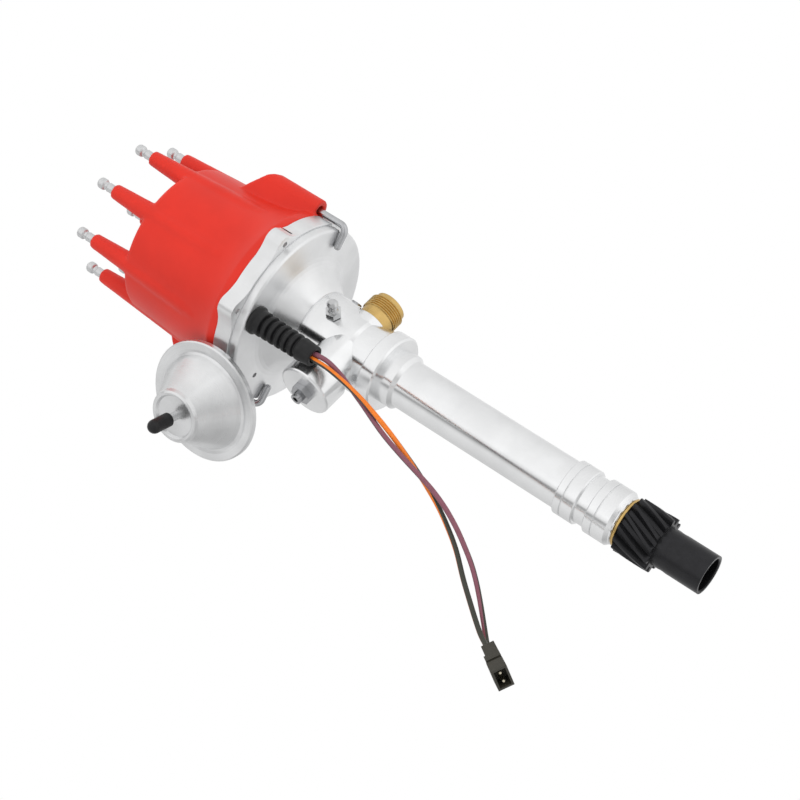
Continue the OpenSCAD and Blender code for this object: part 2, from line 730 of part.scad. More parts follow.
// Boot where the leads come out of the floor of the bowl
module strain_relief_boot() color(black) translate([boot_x, boot_y, 0]) {
    rib_top = bowl_z - 7;
    rib_pitch = 4.6;
    ribs = 6;
    end_top = rib_top - rib_pitch * ribs;
    difference() {
        union() {
            difference() {
                rotate_extrude() polygon([
                    [0, bowl_z - 0.02], [8.4, bowl_z - 0.02], [8.4, bowl_z - 2.6],
                    [7.2, bowl_z - 3.2], [7.4, rib_top], [0, rib_top],
                ]);
                translate([-boot_x, -boot_y, -0.05]) rotate_extrude() polygon(housing_outline());
            }
            translate([0, 0, bowl_z - 2]) cylinder(r = 4.45, h = 6.5);
            for (i = [0:ribs - 1]) translate([0, 0, rib_top - rib_pitch * (i + 1)])
                rotate_extrude() polygon([
                    [0, 0], [5.2, 0], [5.2, 1.1], [7.2 - 0.1 * i, 1.6], [7.2 - 0.1 * i, 4],
                    [5.2, rib_pitch], [0, rib_pitch],
                ]);
            rotate_extrude() polygon([
                [0, end_top], [5.2, end_top], [6.6, end_top - 0.8], [5.9, boot_end_z],
                [0, boot_end_z],
            ]);
        }
        translate([0, 0, boot_end_z - 1]) cylinder(r = 4.3, h = bowl_z - boot_end_z);
        translate([0, 0, boot_end_z - 1]) cylinder(r = 3.3, h = 60);
    }
}

module lead_orange() color("#e8701c") swept_tube(smooth(orange_route, 2), lead_d / 2, 8);
module lead_violet() color("#7a4a5e") swept_tube(smooth(violet_route, 2), lead_d / 2, 8);

// Two-way connector with an open mouth
module connector_body() color(black) on_connector() {
    t = 13.4;
    w = 8.6;
    difference() {
        union() {
            translate([-t / 2 + 0.7, -w / 2, 0]) cube([t - 1.4, w - 1.6, 9]);
            translate([-t / 2, -w / 2, 8.8]) cube([t, w - 0.4, 4]);
            translate([-t / 2 + 0.9, -w / 2 + 0.9, 12]) cube([t - 1.8, w - 1.8, 3]);
            translate([-t / 2, -w / 2, 14.4]) cube([t, w, 7.6]);
        }
        translate([-t / 2 + 1.2, -w / 2 + 1.2, 15]) cube([t - 2.4, w - 2.4, 10]);
        at_pins() {
            translate([0, 0, -1]) cylinder(r = 1.8, h = 5, $fn = fine);
            translate([0, 0, 8]) cylinder(r = 1.02, h = 10, $fn = fine);
        }
    }
}

module at_pins() {
    for (x = [-2.85, 2.85]) translate([x, 0, 0]) children();
}

module connector_pins() color(brass) on_connector() at_pins() {
    translate([0, 0, 8]) cylinder(r = 1, h = 12.4, $fn = fine);
    translate([0, 0, 20.4]) sphere(r = 1, $fn = fine);
}

// Shaft and drive gear
module main_shaft() color(steel) {
    low = tail_z + tail_bore_l + 0.4;
    difference() {
        union() {
            translate([0, 0, low]) cylinder(r = shaft_r, h = cross_z - worm_l / 2 - low);
            translate([0, 0, cross_z]) rotate([0, 0, cross_turn - 90])
                screw_gear(worm_r, worm_helix, worm_r + worm_tip, worm_r - 1.1, worm_l + 0.4, 0);
            translate([0, 0, cross_z + worm_l / 2])
                cylinder(r = shaft_r, h = weight_z - 0.1 - cross_z - worm_l / 2);
            translate([0, 0, weight_z - 1]) cylinder(r = 4, h = shaft_top_z - weight_z + 1);
        }
        translate([-2.5, -10, low - 1]) cube([5, 20, 6]);
        translate([-20, 0, -186]) rotate([0, 90, 0]) cylinder(r = 2.4 + fit, h = 40, $fn = 48);
    }
}

module gear_section() {
    tip = gear_d / 2;
    pitch = 360 / gear_teeth;
    polygon([
        for (i = [0:gear_teeth - 1]) each [
            [gear_root_r * cos(pitch * (i - 0.42)), gear_root_r * sin(pitch * (i - 0.42))],
            [gear_root_r * cos(pitch * (i - 0.30)), gear_root_r * sin(pitch * (i - 0.30))],
            [(tip - 1.2) * cos(pitch * (i - 0.19)), (tip - 1.2) * sin(pitch * (i - 0.19))],
            [tip * cos(pitch * (i - 0.12)), tip * sin(pitch * (i - 0.12))],
            [tip * cos(pitch * (i + 0.12)), tip * sin(pitch * (i + 0.12))],
            [(tip - 1.2) * cos(pitch * (i + 0.19)), (tip - 1.2) * sin(pitch * (i + 0.19))],
            [gear_root_r * cos(pitch * (i + 0.30)), gear_root_r * sin(pitch * (i + 0.30))],
            [gear_root_r * cos(pitch * (i + 0.42)), gear_root_r * sin(pitch * (i + 0.42))],
        ],
    ]);
}

module drive_gear() color(black) {
    face = teeth_top_z - teeth_low_z;
    turn = face * tan(gear_helix) / (gear_d / 2 - 1.5) * 180 / PI;
    difference() {
        union() {
            translate([0, 0, teeth_low_z])
                linear_extrude(height = face, twist = -turn, slices = 14) gear_section();
            translate([0, 0, teeth_top_z - 1]) cylinder(r = gear_root_r - 0.2, h = gear_top_z - teeth_top_z + 1);
            translate([0, 0, tail_z]) cylinder(r = tail_d / 2, h = teeth_low_z - tail_z + 1);
        }
        translate([0, 0, tail_z - 1]) cylinder(r = shaft_r + fit, h = 60);
        translate([0, 0, tail_z - 1]) cylinder(r = tail_bore_d / 2, h = tail_bore_l + 1);
        translate([0, 0, tail_z - 0.01])
            cylinder(r1 = tail_bore_d / 2 + 0.6, r2 = tail_bore_d / 2, h = 0.6);
        translate([-20, 0, -186]) rotate([0, 90, 0]) cylinder(r = 2.4 + fit, h = 40, $fn = 48);
    }
}

module gear_roll_pin() color(steel)
    translate([-tail_d / 2 + 0.2, 0, -186]) rotate([0, 90, 0])
        difference() {
            cylinder(r = 2.4, h = tail_d - 0.4, $fn = 48);
            translate([0, 0, -1]) cylinder(r = 1.4, h = tail_d + 2, $fn = 48);
            translate([0, -0.35, -1]) cube([5, 0.7, tail_d + 2]);
        }

module thrust_washer() color(brass)
    translate([0, 0, gear_top_z + 0.02]) pipe(14.1, shaft_r + fit, 1.3);

// Centrifugal advance
module advance_cam() color(steel) translate([0, 0, weight_z]) linear_extrude(height = 4.6)
    difference() {
        union() {
            circle(r = 7);
            for (s = [-1, 1]) translate([5.5 * s, 0]) circle(r = 4);
        }
        circle(r = 4 + fit);
    }

module weight_carrier() color(steel) {
    sleeve_z = 78;
    difference() {
        union() {
            translate([0, 0, sleeve_z - 0.4]) cylinder(r = 9, h = carrier_z - sleeve_z + 1);
            translate([0, 0, carrier_z]) intersection() {
                cylinder(r = carrier_r, h = carrier_t);
                translate([-carrier_r, -20, -1]) cube([2 * carrier_r, 40, 5]);
            }
            translate([0, 0, carrier_z]) intersection() {
                cylinder(r = 30, h = carrier_t);
                translate([-16, -40, -1]) cube([32, 80, 5]);
            }
        }
        translate([0, 0, sleeve_z - 1]) cylinder(r = shaft_r + run, h = 20);
        for (s = [-1, 1]) translate([0, s * weight_pin_r, carrier_z - 1])
            cylinder(r = 2.4 + fit, h = 4, $fn = 48);
        for (s = [-1, 1]) translate([s * 29, 0, carrier_z - 1])
            cylinder(r = 2 + fit, h = 4, $fn = 48);
    }
}

module weight_pins() color(steel) for (s = [-1, 1])
    translate([0, s * weight_pin_r, carrier_z]) cylinder(r = 2.4, h = weight_t + 3.4, $fn = 48);

// Curved weight that swings out from its pin
module advance_weight(side) color(steel) rotate([0, 0, 180 * side])
    translate([0, 0, weight_z]) linear_extrude(height = weight_t) difference() {
        union() {
            difference() {
                circle(r = 30);
                circle(r = 14);
                translate([-40, -60]) square([80, 60]);
                translate([-60, -1]) square([62, 80]);
            }
            translate([0, weight_pin_r]) circle(r = 6);
        }
        translate([0, weight_pin_r]) circle(r = 2.4 + run, $fn = 48);
        translate([26.5, 0]) circle(r = 8);
    }

module advance_weight_a() advance_weight(0);
module advance_weight_b() advance_weight(1);

module advance_springs() color(steel) for (s = [0, 1])
    rotate([0, 0, 180 * s]) translate([-6, 12.5, weight_z + 2]) rotate([-70, 0, 20])
        coil_spring(1.6, 0.35, 0, 10, 7);

module reluctor() color(steel) translate([0, 0, reluctor_z]) linear_extrude(height = reluctor_t)
    difference() {
        union() {
            circle(r = 16);
            for (i = [0:7]) rotate([0, 0, 45 * i]) polygon([
                [14, -4.2], [reluctor_tip_r - 0.1, -1.4], [reluctor_tip_r, 0],
                [reluctor_tip_r - 0.1, 1.4], [14, 4.2],
            ]);
        }
        circle(r = 9 + fit);
    }

module rotor() color(black) {
    difference() {
        union() {
            translate([0, 0, rotor_z]) cylinder(r = 35, h = 3);
            translate([0, 0, rotor_z + 2]) cylinder(r1 = 17, r2 = 13, h = rotor_top_z - rotor_z - 2);
            translate([0, -7, rotor_top_z - 7]) cube([33, 14, 7]);
            translate([0, -3, rotor_z + 2]) cube([30, 6, rotor_top_z - rotor_z - 4]);
            for (s = [-1, 1]) translate([29 * s, 0, carrier_z + carrier_t + 0.02])
                cylinder(r = 4, h = 8.4, $fn = 48);
        }
        translate([0, 0, rotor_z - 1]) cylinder(r = 11, h = rotor_top_z - rotor_z - 4);
        for (s = [-1, 1]) translate([29 * s, 0, carrier_z])
            cylinder(r = 2 + fit, h = rotor_z + 4 - carrier_z, $fn = 48);
        for (s = [-1, 1]) translate([29 * s, 0, rotor_z + 3])
            cylinder(r = 4.2, h = rotor_top_z - rotor_z - 12, $fn = 48);
    }
}

module rotor_contact() color(brass) translate([0, 0, rotor_top_z + 0.02]) {
    translate([-4, -3, 0]) cube([36, 6, 1]);
    translate([30, -3, 0]) cube([7, 6, 1]);
    translate([0, 0, 1]) cylinder(r1 = 3, r2 = 2, h = 1.1, $fn = fine);
}

module rotor_screws() color(steel) for (s = [-1, 1]) translate([29 * s, 0, 0]) {
    translate([0, 0, carrier_z]) cylinder(r = 2, h = rotor_z + 3.1 - carrier_z, $fn = 48);
    translate([0, 0, rotor_z + 3.02]) cylinder(r = 3.6, h = 2, $fn = 48);
}

// Magnetic pickup on the plate that the vacuum advance turns
module pickup_plate() color(zinc) {
    difference() {
        union() {
            translate([0, 0, plate_z]) pipe(plate_r, hub_r + run, plate_t);
            rotate([0, 0, can_turn - 90]) translate([link_off, 0, plate_z])
                cylinder(r = 1.5, h = 6, $fn = 48);
        }
        translate([boot_x, boot_y, plate_z - 1]) cylinder(r = 9, h = 5);
        rotate([0, 0, can_turn]) translate([5.5, -link_off - 9.5, plate_z - 1]) cube([45, 19, 5]);
    }
}

module plate_retainer() color(steel)
    translate([0, 0, plate_z + plate_t + 0.1]) pipe(hub_r + 1.4, hub_r + fit, 1.2);

module pickup_pole() color(steel) rotate([0, 0, pole_turn]) {
    tip = reluctor_tip_r + pole_gap;
    translate([tip, -4, reluctor_z]) cube([12, 8, reluctor_t]);
    translate([tip + 11, -9, plate_z + plate_t + 0.02]) cube([4, 18, 9]);
}

module pickup_coil() color(black) rotate([0, 0, pole_turn]) difference() {
    translate([reluctor_tip_r + pole_gap + 2.4, -8, plate_z + plate_t + 0.1]) cube([8.4, 16, 11]);
    translate([reluctor_tip_r, -4.05, reluctor_z - 0.05]) cube([14, 8.1, reluctor_t + 0.1]);
}

housing();
lower_bushing();
bearing_outer_race();
bearing_balls();
bearing_retainer();
plate_retainer();
distributor_cap();
tower_terminals();
coil_terminal();
carbon_button();
button_spring();
latch_springs();
vacuum_can_front();
vacuum_can_back();
vacuum_diaphragm();
vacuum_spring();
vacuum_bracket();
bracket_screws();
tach_fitting();
tach_bushing();
tach_end_cap();
thrust_screw();
jam_nut();
grease_fitting();
socket_plugs();
strain_relief_boot();
lead_orange();
lead_violet();
connector_body();
connector_pins();
main_shaft();
bearing_inner_race();
drive_gear();
gear_roll_pin();
thrust_washer();
advance_cam();
weight_carrier();
weight_pins();
advance_weight_a();
advance_weight_b();
advance_springs();
reluctor();
rotor();
rotor_contact();
rotor_screws();
pickup_plate();
pickup_coil();
pickup_pole();
vacuum_link();
tach_gear();
latch_washer_a();
latch_washer_b();
latch_rod_a();
latch_rod_b();
nipple_cap();
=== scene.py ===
"""Ignition distributor: the fixed CAD model with its studio, its leads and its finishes.

Lengths are metres, or millimetres where a comment says so. Z runs along the shaft with
the cap on top.
"""

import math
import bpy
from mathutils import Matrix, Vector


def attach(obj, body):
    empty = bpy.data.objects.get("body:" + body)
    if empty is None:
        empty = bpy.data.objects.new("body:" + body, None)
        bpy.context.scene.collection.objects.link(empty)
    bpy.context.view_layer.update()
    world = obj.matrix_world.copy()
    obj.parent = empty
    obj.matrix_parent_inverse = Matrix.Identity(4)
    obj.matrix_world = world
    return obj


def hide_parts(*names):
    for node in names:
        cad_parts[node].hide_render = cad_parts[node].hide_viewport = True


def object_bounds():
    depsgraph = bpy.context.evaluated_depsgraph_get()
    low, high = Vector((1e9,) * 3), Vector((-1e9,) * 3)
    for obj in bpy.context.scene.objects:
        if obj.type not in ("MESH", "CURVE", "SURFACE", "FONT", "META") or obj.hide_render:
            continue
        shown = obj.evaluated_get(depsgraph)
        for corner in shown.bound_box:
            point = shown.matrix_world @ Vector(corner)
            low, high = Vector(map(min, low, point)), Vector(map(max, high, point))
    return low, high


bl_info = {
    "name": "Ignition distributor",
    "version": (1, 0, 0),
    "blender": (4, 5, 0),
    "location": "3D View > Sidebar > Distributor",
    "description": "Dresses the distributor model and sets up its studio",
    "category": "Object",
}

import bmesh
import bpy
from bpy.props import FloatProperty, FloatVectorProperty, PointerProperty
from mathutils import Euler, Matrix, Vector

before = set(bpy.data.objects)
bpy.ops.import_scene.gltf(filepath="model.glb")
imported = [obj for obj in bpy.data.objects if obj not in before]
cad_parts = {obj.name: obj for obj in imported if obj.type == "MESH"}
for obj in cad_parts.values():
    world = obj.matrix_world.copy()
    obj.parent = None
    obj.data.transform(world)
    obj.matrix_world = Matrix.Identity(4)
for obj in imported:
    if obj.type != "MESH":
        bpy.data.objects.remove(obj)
CAD_BOX = [list(map(float, corner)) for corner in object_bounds()]

MM = 0.001

# Camera of the photograph, rolled on its side; lens and sensor in millimetres
CAMERA_AT = (0.0, -1.01372, -0.44086)
CAMERA_RIGHT = (0.53466, 0.33399, -0.77626)
CAMERA_UP = (0.84502, -0.20197, 0.49512)
CAMERA_BACK = (0.00858, -0.92068, -0.39022)
CAMERA_LENS = 90.234
SENSOR_WIDTH = 36.0

# Routes of the two leads in millimetres, from just inside the boot to the connector
ORANGE_ROUTE = [
    (-15.8, -42.8, 30), (-15.8, -42.9, 27), (-15.6, -43.3, 16.9), (-16.6, -43.6, 6.9),
    (-18.1, -43.8, -3.1), (-20.2, -43.6, -13), (-23.4, -42.9, -24.5), (-26.9, -42.2, -35.4),
    (-30.8, -41.9, -46.2), (-34.9, -41.8, -57.1), (-39.5, -41.9, -67.9), (-44.8, -42.3, -79.1),
    (-51.2, -42.7, -90), (-58.4, -43, -100.4), (-68.3, -43.2, -111.7), (-75.8, -43, -120.8),
    (-82.3, -42.6, -128.9), (-87, -42.8, -135.4), (-89.5, -45.3, -141.1), (-91.3, -49.4, -146.5),
]
VIOLET_ROUTE = [
    (-12.8, -42.8, 30), (-12.8, -42.6, 27), (-12.5, -41.6, 18.9), (-14.6, -40, 9.4),
    (-17.9, -39.6, 0), (-21.6, -40.2, -10.6), (-25.6, -41.6, -21.6), (-28.2, -43, -29.3),
    (-30.3, -44.2, -36.5), (-32.2, -45, -43.9), (-34, -45.5, -51.3), (-35.7, -45.8, -58.7),
    (-37.5, -45.9, -66.3), (-39.9, -45.8, -74.9), (-43.8, -45.4, -85), (-49, -44.8, -95.1),
    (-54.5, -44, -103.7), (-60.2, -43, -111.6), (-66.3, -41.9, -118.4), (-73.2, -40.4, -124.9),
    (-81, -39.2, -131.9), (-88, -38.9, -138.4), (-92.3, -41, -143.6), (-94, -45.1, -148.9),
]

# Which way the dark half of each lead faces: height in millimetres, turn in degrees,
# where 0 faces the camera and 90 the right of the picture
ORANGE_TURN = (
    (27, 262), (5, 258), (-14, 238), (-32, 180), (-55, 130), (-68, 100), (-78, 65), (-95, 40),
    (-110, 20), (-150, 10),
)
VIOLET_TURN = (
    (27, 180), (0, 190), (-14, 215), (-30, 220), (-60, 220), (-80, 185), (-98, 165),
    (-109, 140), (-125, 112), (-137, 85), (-150, 60),
)

# What bright metal reflects, by compass bearing in degrees: a bright panel on the right,
# a grey one on the left and a narrow dark gap between them
ROOM_LEVELS = (
    (-180, 0.8), (-160, 0.85), (-149, 0.7), (-139, 0.25), (-130, 0.9), (-115, 1.1), (-60, 1.0),
    (50, 0.8), (85, 0.9), (100, 0.65), (140, 0.7), (180, 0.8),
)
# The same for the floor: brightest ahead on the right, darkest behind on the left
FLOOR_LEVELS = (
    (-180, 0.65), (-150, 0.8), (-95, 0.6), (-35, 1.15), (30, 0.95), (90, 0.8), (145, 0.45),
    (180, 0.65),
)
# The level that white in their colour ramps stands for
LEVEL_SPAN = 1.25

# Heights between which the housing goes from polished neck to satin cone, in metres
SATIN_FROM = 0.050
SATIN_TO = 0.058

# Radius of the rounding that every edge shows, in metres
EDGE_ROUNDING = 0.00035

# Steps of the curve between two points of a lead's route
ROUTE_STEPS = 5

# Ribbed boot, in millimetres from the collar's seat
BOOT_TOP = 68.55
BOOT_END = 26.1
FIRST_RIB = 61.6
RIB_PITCH = 4.6
RIBS = 6
RIB_TAPER = 0.1

# Softening of the moulded cap: voxel size in metres, passes of smoothing
CAP_VOXEL = 0.00075
CAP_SMOOTHINGS = 9

# Floor: half its side, its gap under the object and where it fades to white, in metres
FLOOR_REACH = 6.0
FLOOR_GAP = 0.0004
FADE_FROM = 0.1
FADE_TO = 0.75

# Axes of the turned pieces: a point in metres and the turn that lays Z along the axis
MAIN_AXIS = ((0.0, 0.0, 0.0), (0.0, 0.0, 0.0))
CROSS_AXIS = ((0.00388, -0.007, 0.0278), (0.0, math.radians(90), math.radians(29)))
CAN_AXIS = ((-0.06782, -0.02563, 0.077), (0.0, math.radians(90), math.radians(-126)))
BOOT_AXIS = ((-0.0143, -0.0428, 0.0), (0.0, 0.0, 0.0))


class DISTRIBUTOR_PG_finishes(bpy.types.PropertyGroup):
    alloy: FloatVectorProperty(
        name="Alloy", description="Colour of the polished housing", subtype="COLOR",
        default=(0.86, 0.865, 0.87), min=0, max=1,
    )
    cap: FloatVectorProperty(
        name="Cap", description="Colour of the moulded cap", subtype="COLOR",
        default=(0.72, 0.031, 0.017), min=0, max=1,
    )
    brass: FloatVectorProperty(
        name="Brass", description="Colour of the cable fitting", subtype="COLOR",
        default=(0.68, 0.46, 0.17), min=0, max=1,
    )
    plated: FloatVectorProperty(
        name="Plated steel", description="Colour of the vacuum can", subtype="COLOR",
        default=(0.80, 0.805, 0.81), min=0, max=1,
    )
    rubber: FloatVectorProperty(
        name="Rubber", description="Colour of the boot", subtype="COLOR",
        default=(0.009, 0.009, 0.0095), min=0, max=1,
    )


class DISTRIBUTOR_PG_leads(bpy.types.PropertyGroup):
    diameter: FloatProperty(
        name="Diameter", description="Outside diameter of each lead", unit="LENGTH",
        default=0.0028, min=0.002, max=0.0032,
    )
    orange: FloatVectorProperty(
        name="Orange lead", description="Colour of the first lead", subtype="COLOR",
        default=(0.86, 0.21, 0.02), min=0, max=1,
    )
    violet: FloatVectorProperty(
        name="Violet lead", description="Colour of the second lead", subtype="COLOR",
        default=(0.235, 0.085, 0.115), min=0, max=1,
    )
    # Colour of the dark half of each lead, whose side the tubes set from the direction to the
    # camera
    dark_half: FloatVectorProperty(
        name="Dark side", description="Colour of the dark half of both leads", subtype="COLOR",
        default=(0.045, 0.045, 0.035), min=0, max=1,
    )


class DISTRIBUTOR_PG_studio(bpy.types.PropertyGroup):
    floor: FloatVectorProperty(
        name="Floor", description="Colour of the floor", subtype="COLOR",
        default=(0.93, 0.93, 0.93), min=0, max=1,
    )
    ambient: FloatProperty(
        name="Ambient", description="Brightness of the white room", default=0.62, min=0, max=2,
    )
    key: FloatProperty(
        name="Key lamp", description="Power of the main lamp", unit="POWER", default=9.0, min=0,
    )


def add_node(tree, kind, inputs=None, **settings):
    """Adds a node, with each input set to a value or linked to an output."""
    node = tree.nodes.new(kind)
    for key, value in settings.items():
        setattr(node, key, value)
    for key, value in (inputs or {}).items():
        if hasattr(value, "is_output"):
            tree.links.new(value, node.inputs[key])
        else:
            node.inputs[key].default_value = value
    return node


class Nodes:
    """A material's node tree with short ways to add the nodes that the finishes share."""

    def __init__(self, name):
        self.material = bpy.data.materials.new(name)
        self.material.use_nodes = True
        self.tree = self.material.node_tree
        self.tree.nodes.clear()
        self.output = self.add("ShaderNodeOutputMaterial")
        self.shader = self.add("ShaderNodeBsdfPrincipled")
        self.link(self.shader.outputs["BSDF"], self.output.inputs["Surface"])

    def add(self, kind, inputs=None, **settings):
        return add_node(self.tree, kind, inputs, **settings)

    def link(self, source, target):
        self.tree.links.new(source, target)

    def set(self, **values):
        for key, value in values.items():
            socket = self.shader.inputs[key.replace("_", " ")]
            if hasattr(value, "is_output"):
                self.link(value, socket)
            else:
                socket.default_value = value

    def place(self, axis=MAIN_AXIS):
        """Coordinates with Z along the given axis."""
        coords = self.add("ShaderNodeTexCoord").outputs["Object"]
        return self.add(
            "ShaderNodeMapping",
            {"Vector": coords, "Location": axis[0], "Rotation": axis[1]},
            vector_type="TEXTURE",
        ).outputs["Vector"]

    def spin(self, axis):
        """The direction of an axis, as a constant vector."""
        way = Euler(axis[1]).to_matrix() @ Vector((0.0, 0.0, 1.0))
        return self.add("ShaderNodeCombineXYZ", {"X": way.x, "Y": way.y, "Z": way.z}).outputs[0]

    def math(self, operation, a, b=0.0):
        return self.add("ShaderNodeMath", {0: a, 1: b}, operation=operation).outputs[0]

    def noise(self, vector, scale, detail=3.0, roughness=0.5):
        return self.add(
            "ShaderNodeTexNoise",
            {"Vector": vector, "Scale": scale, "Detail": detail, "Roughness": roughness},
        ).outputs["Fac"]

    def between(self, value, low, high, to_low=0.0, to_high=1.0):
        return self.add(
            "ShaderNodeMapRange",
            {"Value": value, 1: low, 2: high, 3: to_low, 4: to_high},
        ).outputs["Result"]

    def mix(self, factor, a, b):
        node = self.add("ShaderNodeMix", data_type="RGBA")
        self.link(factor, node.inputs["Factor"])
        for index, colour in ((6, a), (7, b)):
            if hasattr(colour, "is_output"):
                self.link(colour, node.inputs[index])
            else:
                node.inputs[index].default_value = (*colour[:3], 1.0)
        return node.outputs[2]

    def turned(self, axis, scale):
        """Noise that is the same all the way round an axis, as a lathe tool leaves it."""
        parts = self.add("ShaderNodeSeparateXYZ", {0: self.place(axis)})
        radius = self.math(
            "SQRT",
            self.math(
                "ADD",
                self.math("MULTIPLY", parts.outputs["X"], parts.outputs["X"]),
                self.math("MULTIPLY", parts.outputs["Y"], parts.outputs["Y"]),
            ),
        )
        vector = self.add(
            "ShaderNodeCombineXYZ",
            {
                "X": self.math("MULTIPLY", radius, scale),
                "Y": self.math("MULTIPLY", parts.outputs["Z"], scale),
            },
        ).outputs["Vector"]
        return self.noise(vector, 1.0, 2.0, 0.6)

    def bump(self, height, strength, distance):
        """Adds a bump on top of the rounding of the edges."""
        edge = self.add("ShaderNodeBevel", {"Radius": EDGE_ROUNDING}, samples=4).outputs["Normal"]
        node = self.add(
            "ShaderNodeBump",
            {"Height": height, "Strength": strength, "Distance": distance, "Normal": edge},
        )
        self.set(Normal=node.outputs["Normal"])


def levels_by_bearing(add, way, levels):
    """A grey that follows the compass bearing of a vector, as a share of LEVEL_SPAN."""
    parts = add("ShaderNodeSeparateXYZ", {0: way})
    turn = add(
        "ShaderNodeMath", {0: parts.outputs["Y"], 1: parts.outputs["X"]}, operation="ARCTAN2"
    ).outputs[0]
    share = add("ShaderNodeMapRange", {"Value": turn, 1: -math.pi, 2: math.pi}).outputs["Result"]
    ramp = add("ShaderNodeValToRGB", {0: share})
    stops = ramp.color_ramp.elements
    for bearing, level in levels[1:-1]:
        stops.new((bearing + 180) / 360).color = (*[level / LEVEL_SPAN] * 3, 1)
    stops[0].color = (*[levels[0][1] / LEVEL_SPAN] * 3, 1)
    stops[len(stops) - 1].color = (*[levels[-1][1] / LEVEL_SPAN] * 3, 1)
    return ramp.outputs["Color"]


def shade(colour, factor):
    return tuple(min(1.0, c * factor) for c in colour)


def polished_alloy(
    name, colour, axis=MAIN_AXIS, smooth=0.18, dull=0.26, clouded=0.95, grain=5200.0
):
    """Turned and polished metal: reflections drawn out along the axis, fine tool rings."""
    n = Nodes(name)
    rings = n.turned(axis, grain)
    place = n.place(axis)
    cloud = n.noise(place, 55.0, 4.0)
    height = n.add("ShaderNodeSeparateXYZ", {0: place}).outputs["Z"]
    satin = n.between(height, SATIN_FROM, SATIN_TO, 0.0, 0.2)
    rough = n.math("ADD", n.between(rings, 0.3, 0.75, smooth, dull), satin)
    out = n.add(
        "ShaderNodeVectorMath", {0: n.place(), 1: axis[0]}, operation="SUBTRACT"
    ).outputs[0]
    around = n.add(
        "ShaderNodeVectorMath", {0: n.spin(axis), 1: out}, operation="CROSS_PRODUCT"
    ).outputs[0]
    n.set(
        Base_Color=n.mix(
            n.between(cloud, 0.35, 0.7), shade(colour, clouded), shade(colour, 1.04)
        ),
        Metallic=1.0,
        Roughness=rough,
        Anisotropic=0.75,
        Anisotropic_Rotation=0.25,
        Tangent=around,
    )
    n.bump(rings, 0.04, 0.00003)
    return n.material


def turned_metal(
    name, colour, axis=MAIN_AXIS, roughness=0.28, grain=3600.0, strength=0.12, stained=0.8
):
    """Plain turned metal with visible tool marks and faint stains."""
    n = Nodes(name)
    rings = n.turned(axis, grain)
    stain = n.noise(n.place(axis), 140.0, 5.0, 0.62)
    n.set(
        Base_Color=n.mix(n.between(stain, 0.38, 0.72), colour, shade(colour, stained)),
        Metallic=1.0,
        Roughness=n.between(rings, 0.3, 0.75, roughness * 0.8, roughness * 1.3),
    )
    n.bump(rings, strength, 0.00005)
    return n.material


def plated_sheet(name, colour):
    """Zinc plated sheet: satin, with a fine crystal pattern."""
    n = Nodes(name)
    coords = n.place()
    crystal = n.add(
        "ShaderNodeTexVoronoi", {"Vector": coords, "Scale": 850.0, "Randomness": 1.0}
    ).outputs["Color"]
    flake = n.add("ShaderNodeSeparateXYZ", {0: crystal}).outputs["X"]
    cloud = n.noise(coords, 90.0, 4.0)
    n.set(
        Base_Color=n.mix(flake, shade(colour, 0.96), shade(colour, 1.03)),
        Metallic=1.0,
        Roughness=n.between(cloud, 0.35, 0.7, 0.24, 0.32),
    )
    n.bump(flake, 0.012, 0.00003)
    return n.material


def moulded(name, colour, roughness=0.36, grain=1900.0, strength=0.08, specular=0.5):
    """Moulded plastic with a fine skin texture and slight unevenness."""
    n = Nodes(name)
    coords = n.place()
    skin = n.noise(coords, grain, 3.0, 0.6)
    cloud = n.noise(coords, 34.0, 3.0)
    n.set(
        Base_Color=n.mix(n.between(cloud, 0.32, 0.7), shade(colour, 0.93), shade(colour, 1.05)),
        Roughness=n.between(skin, 0.3, 0.75, roughness * 0.88, roughness * 1.15),
        Specular_IOR_Level=specular,
    )
    n.bump(skin, strength, 0.00005)
    return n.material


def black_rubber(name, colour):
    """Dull black rubber with fine grain and paler rubbed patches."""
    n = Nodes(name)
    coords = n.place()
    grain = n.noise(coords, 2600.0, 4.0, 0.7)
    rubbed = n.noise(coords, 210.0, 4.0)
    n.set(
        Base_Color=n.mix(n.between(rubbed, 0.5, 0.74), colour, shade(colour, 1.8)),
        Roughness=n.between(grain, 0.3, 0.7, 0.36, 0.5),
        Specular_IOR_Level=0.3,
    )
    n.bump(grain, 0.18, 0.00006)
    return n.material


def black_oxide(name, colour, grain=2600.0):
    """Blackened gear steel: an even satin with fine tool rings and slightly paler patches."""
    n = Nodes(name)
    rings = n.turned(MAIN_AXIS, grain)
    worn = n.noise(n.place(), 260.0, 3.0, 0.6)
    n.set(
        Base_Color=n.mix(n.between(worn, 0.4, 0.75), colour, shade(colour, 1.25)),
        Metallic=0.6,
        Roughness=n.between(rings, 0.3, 0.7, 0.3, 0.36),
        Specular_IOR_Level=0.35,
    )
    n.bump(rings, 0.05, 0.00005)
    return n.material


def insulation(name, colour, dark_half):
    """Wire insulation with a dark half that turns slowly round the lead."""
    n = Nodes(name)
    # The dark half follows the tube's attribute, whose side is set from the direction to the
    # camera
    facing = n.add("ShaderNodeAttribute", attribute_name="dark_half").outputs["Fac"]
    cloud = n.noise(n.place(), 420.0, 3.0)
    edge = n.math("ADD", facing, n.between(cloud, 0.3, 0.7, -0.03, 0.03))
    # Mask of the dark half, with a noisy edge
    dark_half_mask = n.between(edge, -0.02, 0.06)
    body = n.mix(n.between(cloud, 0.3, 0.7), shade(colour, 0.93), shade(colour, 1.06))
    n.set(
        Base_Color=n.mix(dark_half_mask, body, dark_half),
        Roughness=n.between(cloud, 0.3, 0.7, 0.34, 0.44),
        Specular_IOR_Level=0.35,
    )
    n.bump(cloud, 0.05, 0.00006)
    return n.material


def finish(material, *nodes):
    """Gives one material to CAD nodes."""
    for name in nodes:
        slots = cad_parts[name].material_slots
        if not slots:
            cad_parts[name].data.materials.append(material)
        for slot in slots:
            slot.material = material


